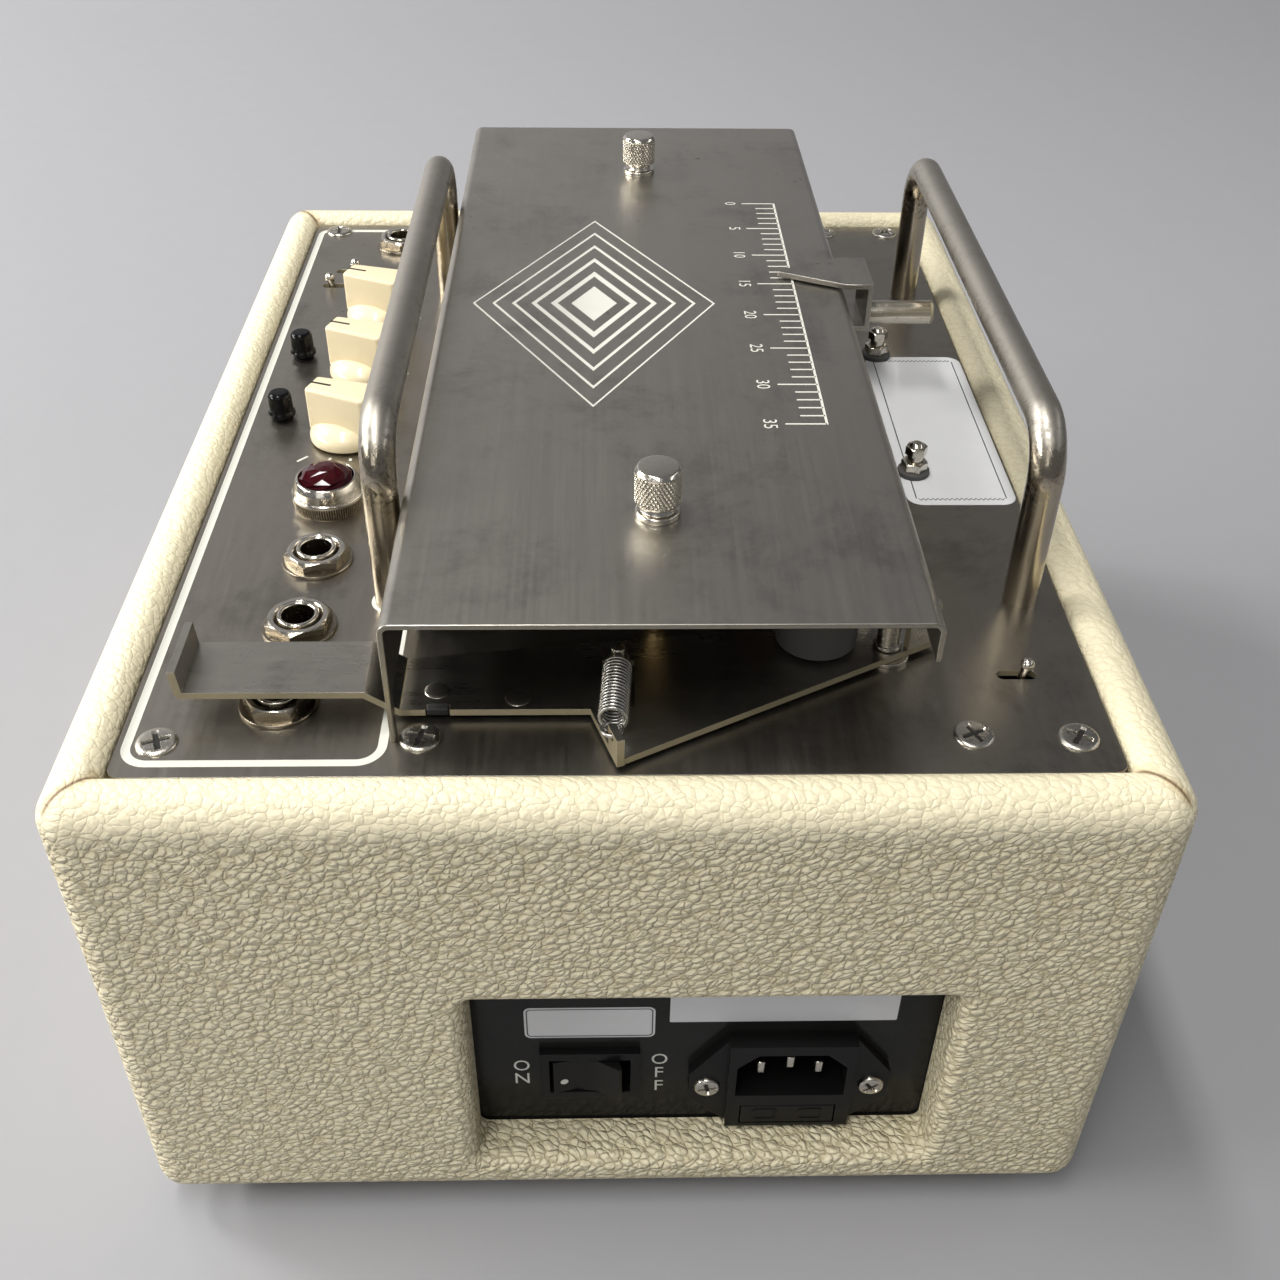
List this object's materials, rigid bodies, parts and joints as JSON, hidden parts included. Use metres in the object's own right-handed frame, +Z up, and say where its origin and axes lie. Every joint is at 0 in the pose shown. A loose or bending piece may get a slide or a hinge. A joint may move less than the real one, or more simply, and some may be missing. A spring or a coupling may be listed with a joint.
{
  "type": "tape echo unit",
  "caption": "Valve tape delay in a cream covered cabinet: steel deck with knobs, jacks, toggles and lamp, a folded tape cover, carrying handles and a sliding record head.",
  "frame": {"origin": "middle of the surface that the feet stand on, under the cabinet's middle", "axes": "+X out of the mains end, along the cabinet's length; -Y towards the player's controls; +Z up"},
  "size_m": [0.3, 0.23, 0.1867],
  "materials": {
    "cream_covering": "grained vinyl covering, semi-matte",
    "base_board": "raw plywood",
    "black_rubber": "matte",
    "grey_rubber": "matte, ground",
    "nickel": "bright nickel plating, slightly worn",
    "handle_nickel": "polished nickel plating",
    "deck_steel": "brushed nickel-plated steel, satin",
    "cover_steel": "fine brushed along its length",
    "lever_steel": "plated sheet with bright sheared edges",
    "plated_steel": "plain plated",
    "spring_steel": "bright wire",
    "black_enamel": "black satin paint",
    "motor_enamel": "grey paint",
    "brass": "turned",
    "cream_plastic": "ivory moulded",
    "black_gloss": "black moulded",
    "black_plastic": "black moulded, matte",
    "red_jewel": "faceted red lens",
    "dark_cartridge": "black moulded",
    "brown_tape": "oxide tape",
    "head_metal": "polished shield",
    "aluminium": "machined",
    "flywheel_metal": "turned",
    "board_laminate": "laminate",
    "valve_glass": "clear bulbs",
    "core_iron": "varnished laminations"
  },
  "bodies": {
    "chassis": {"cabinet_walls": "cream_covering", "bottom_panel": "base_board", "rubber_feet": "black_rubber", "foot_screws": "nickel", "deck_plate": "deck_steel", "chassis_tray": "black_enamel", "deck_screws": "nickel", "front_handle": "handle_nickel", "rear_handle": "handle_nickel", "handle_screws": "nickel", "deck_cover": "cover_steel", "cover_posts": "brass", "potentiometers": "plated_steel", "panel_nuts": "nickel", "button_switches": "black_plastic", "toggle_switches": "black_plastic", "lamp_bezel": "nickel", "lamp_jewel": "red_jewel", "jack_bodies": "nickel", "rocker_frame": "black_plastic", "mains_inlet": "black_plastic", "inlet_pins": "nickel", "inlet_screws": "nickel", "lever_posts": "plated_steel", "lever_spring": "spring_steel", "tape_cartridge": "dark_cartridge", "tape_loop": "brown_tape", "tape_guides": "nickel", "fixed_heads": "head_metal", "slider_rails": "plated_steel", "rail_blocks": "aluminium", "capstan_bearing": "brass", "motor": "motor_enamel", "drive_belt": "black_rubber", "motor_screws": "nickel", "motor_grommets": "grey_rubber", "circuit_board": "board_laminate", "valves": "valve_glass", "transformer": "core_iron"},
    "near_thumbscrew": {"near_thumbscrew": "nickel"},
    "far_thumbscrew": {"far_thumbscrew": "nickel"},
    "repeats_knob": {"repeats_knob": "cream_plastic"},
    "echo_level_knob": {"echo_level_knob": "cream_plastic"},
    "input_level_knob": {"input_level_knob": "cream_plastic"},
    "repeats_button": {"repeats_button": "black_gloss"},
    "echo_button": {"echo_button": "black_gloss"},
    "input_toggle": {"input_toggle": "nickel"},
    "mode_toggle": {"mode_toggle": "nickel"},
    "speed_toggle": {"speed_toggle": "nickel"},
    "power_rocker": {"power_rocker": "black_gloss"},
    "fuse_drawer": {"fuse_drawer": "black_plastic"},
    "pinch_lever": {"pinch_lever": "lever_steel"},
    "pinch_roller": {"pinch_roller": "grey_rubber"},
    "tape_pack": {"tape_pack": "brown_tape"},
    "flywheel": {"flywheel": "flywheel_metal", "capstan": "plated_steel"},
    "motor_pulley": {"motor_pulley": "brass"},
    "slider": {"slider_carriage": "aluminium", "record_head": "head_metal", "slider_pointer": "nickel"}
  },
  "joints": [
    {"name": "near_thumbscrew_turn", "type": "hinge", "parent": "chassis", "child": "near_thumbscrew", "pos_m": [0.089, 0.008, 0.13925], "axis": [0, 0, 1], "continuous": true},
    {"name": "far_thumbscrew_turn", "type": "hinge", "parent": "chassis", "child": "far_thumbscrew", "pos_m": [-0.1084, 0.008, 0.13925], "axis": [0, 0, 1], "continuous": true},
    {"name": "repeats_turn", "type": "hinge", "parent": "chassis", "child": "repeats_knob", "pos_m": [0.0063, -0.0724, 0.13925], "axis": [0, 0, 1], "range_deg": [-300, 0]},
    {"name": "echo_level_turn", "type": "hinge", "parent": "chassis", "child": "echo_level_knob", "pos_m": [-0.0295, -0.0724, 0.13925], "axis": [0, 0, 1], "range_deg": [-300, 0]},
    {"name": "input_level_turn", "type": "hinge", "parent": "chassis", "child": "input_level_knob", "pos_m": [-0.0653, -0.0724, 0.13925], "axis": [0, 0, 1], "range_deg": [-300, 0]},
    {"name": "repeats_press", "type": "slide", "parent": "chassis", "child": "repeats_button", "axis": [0, 0, -1], "range_m": [0, 0.0008], "stiffness_N_per_m": 400, "springref_m": -0.0005},
    {"name": "echo_press", "type": "slide", "parent": "chassis", "child": "echo_button", "axis": [0, 0, -1], "range_m": [0, 0.0008], "stiffness_N_per_m": 400, "springref_m": -0.0005},
    {"name": "input_toggle_tilt", "type": "hinge", "parent": "chassis", "child": "input_toggle", "pos_m": [-0.0886, -0.0893, 0.13225], "axis": [1, 0, 0], "range_deg": [-22, 0]},
    {"name": "mode_toggle_tilt", "type": "hinge", "parent": "chassis", "child": "mode_toggle", "pos_m": [-0.0995, -0.0865, 0.13225], "axis": [1, 0, 0], "range_deg": [0, 22]},
    {"name": "speed_toggle_tilt", "type": "hinge", "parent": "chassis", "child": "speed_toggle", "pos_m": [0.107, 0.0862, 0.13225], "axis": [1, 0, 0], "range_deg": [0, 22]},
    {"name": "power_rocker_tilt", "type": "hinge", "parent": "chassis", "child": "power_rocker", "pos_m": [0.1351, -0.0073, 0.04], "axis": [0, 0, 1], "range_deg": [0, 16]},
    {"name": "fuse_drawer_pull", "type": "slide", "parent": "chassis", "child": "fuse_drawer", "axis": [1, 0, 0], "range_m": [0, 0.012]},
    {"name": "pinch_lever_swing", "type": "hinge", "parent": "chassis", "child": "pinch_lever", "pos_m": [0.1, 0.0587, 0.13925], "axis": [0, 0, 1], "range_deg": [-5, 0], "deforming": ["lever_spring"]},
    {"name": "pinch_roller_turn", "type": "hinge", "parent": "pinch_lever", "child": "pinch_roller", "pos_m": [0.098, 0.043, 0.13925], "axis": [0, 0, 1], "continuous": true},
    {"name": "tape_pack_turn", "type": "hinge", "parent": "chassis", "child": "tape_pack", "pos_m": [-0.008, -0.009, 0.13925], "axis": [0, 0, 1], "continuous": true},
    {"name": "capstan_turn", "type": "hinge", "parent": "chassis", "child": "flywheel", "pos_m": [0.0843, 0.0432, 0.13925], "axis": [0, 0, 1], "continuous": true},
    {"name": "motor_turn", "type": "hinge", "parent": "chassis", "child": "motor_pulley", "pos_m": [-0.008, 0.045, 0.1], "axis": [0, 0, 1], "continuous": true},
    {"name": "record_head_slide", "type": "slide", "parent": "chassis", "child": "slider", "axis": [1, 0, 0], "range_m": [-0.052, 0.081]}
  ],
  "couplings": [
    {"joint": "motor_turn", "follows": "capstan_turn", "ratio": 5.0299}
  ]
}
